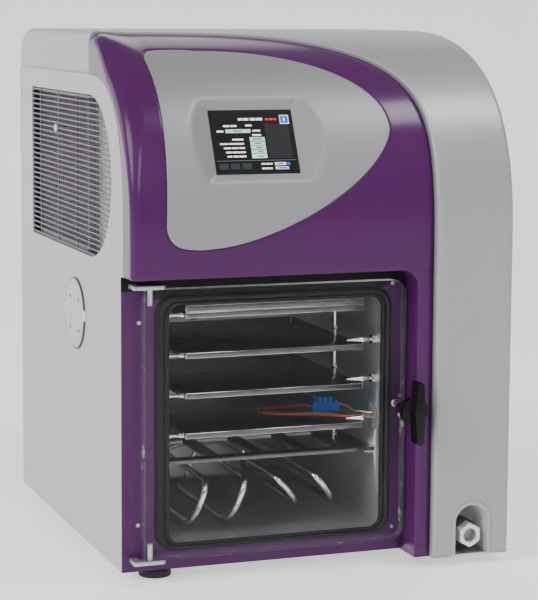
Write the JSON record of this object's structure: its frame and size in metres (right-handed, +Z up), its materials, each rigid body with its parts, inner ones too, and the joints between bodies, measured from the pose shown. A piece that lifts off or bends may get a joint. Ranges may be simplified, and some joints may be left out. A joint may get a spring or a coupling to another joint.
{
  "type": "freeze dryer",
  "caption": "Bench-top shelf freeze dryer with a clear hinged door over a steel shelf chamber, a purple rolled fascia with a touch screen, and a silver shell.",
  "frame": {"origin": "centre of the overall footprint, at the height the levelling feet stand on", "axes": "+X towards the right side seen from the front, +Y towards the rear, +Z up; the door faces -Y"},
  "size_m": [0.6142, 0.777, 0.827],
  "materials": {
    "silver_moulding": "satin silver moulding",
    "purple_moulding": "gloss purple moulding",
    "grey_moulding": "satin grey moulding",
    "silver_sheet": "silver powder coat",
    "grey_sheet": "grey powder coat",
    "stainless": "brushed stainless",
    "polished_steel": "polished stainless",
    "zinc_steel": "zinc plated",
    "black_plastic": "matt black moulding",
    "blue_plastic": "blue moulding",
    "red_plastic": "red moulding",
    "white_plastic": "white moulding",
    "black_rubber": "black rubber",
    "grey_rubber": "dark grey rubber",
    "lead_orange": "orange sleeve",
    "lead_white": "white sleeve",
    "clear_acrylic": "clear cast acrylic",
    "screen_glass": "dark glass",
    "aluminium_fins": "mill finish",
    "painted_steel": "black paint"
  },
  "bodies": {
    "cabinet": {"base_pan": "grey_sheet", "leveling_feet": "black_rubber", "left_side_panel": "silver_sheet", "side_vent_grille": "grey_moulding", "vent_screw": "white_plastic", "side_port_cover": "silver_sheet", "port_cover_screws": "zinc_steel", "panel_screws": "zinc_steel", "right_side_panel": "silver_sheet", "rear_panel": "grey_sheet", "silver_shell": "silver_moulding", "upper_fascia": "purple_moulding", "door_surround": "purple_moulding", "surround_screws": "zinc_steel", "control_inset": "grey_moulding", "display_module": "black_plastic", "touchscreen": "screen_glass", "chamber_tank": "stainless", "chamber_flange": "stainless", "door_gasket": "black_rubber", "chamber_brackets": "zinc_steel", "top_plate": "stainless", "shelf_1": "stainless", "shelf_2": "stainless", "shelf_3": "stainless", "shelf_4": "stainless", "shelf_studs": "stainless", "shelf_fittings": "polished_steel", "stay_rods": "polished_steel", "stay_nuts": "polished_steel", "baffle_frame": "stainless", "condenser_coil": "polished_steel", "probe_port": "white_plastic", "probe_connector": "blue_plastic", "probe_lead_a": "lead_orange", "probe_lead_b": "lead_orange", "probe_lead_c": "lead_white", "drain_pocket": "silver_moulding", "drain_collar": "grey_rubber", "drain_nut": "polished_steel", "hinge_arms": "polished_steel", "hinge_pins": "white_plastic", "latch_keeper": "zinc_steel", "deck_plate": "grey_sheet", "air_condenser": "aluminium_fins", "fan_shroud": "grey_sheet", "fan_motor": "black_plastic", "air_baffle_panel": "silver_sheet", "compressor": "painted_steel", "circulation_pump": "zinc_steel", "electronics_box": "grey_sheet", "vacuum_port": "polished_steel", "power_inlet": "black_plastic", "switch_housing": "black_plastic"},
    "door": {"door_pane": "clear_acrylic", "latch_screws": "polished_steel"},
    "latch": {"latch_spindle": "polished_steel", "latch_knob": "black_plastic"},
    "fan": {"fan_rotor": "black_plastic"},
    "switch": {"mains_rocker": "red_plastic"}
  },
  "joints": [
    {"name": "door_hinge", "type": "hinge", "parent": "cabinet", "child": "door", "pos_m": [-0.2651, -0.299, 0.243], "axis": [0, 0, -1], "range_deg": [0, 135]},
    {"name": "latch_turn", "type": "hinge", "parent": "door", "child": "latch", "pos_m": [0.1369, -0.3415, 0.252], "axis": [0, 1, 0], "range_deg": [0, 90]},
    {"name": "fan_spin", "type": "hinge", "parent": "cabinet", "child": "fan", "pos_m": [-0.2301, 0.1045, 0.603], "axis": [1, 0, 0], "continuous": true},
    {"name": "mains_switch", "type": "hinge", "parent": "cabinet", "child": "switch", "pos_m": [0.2159, 0.3545, 0.156], "axis": [0, 0, -1], "range_deg": [0, 16]}
  ]
}
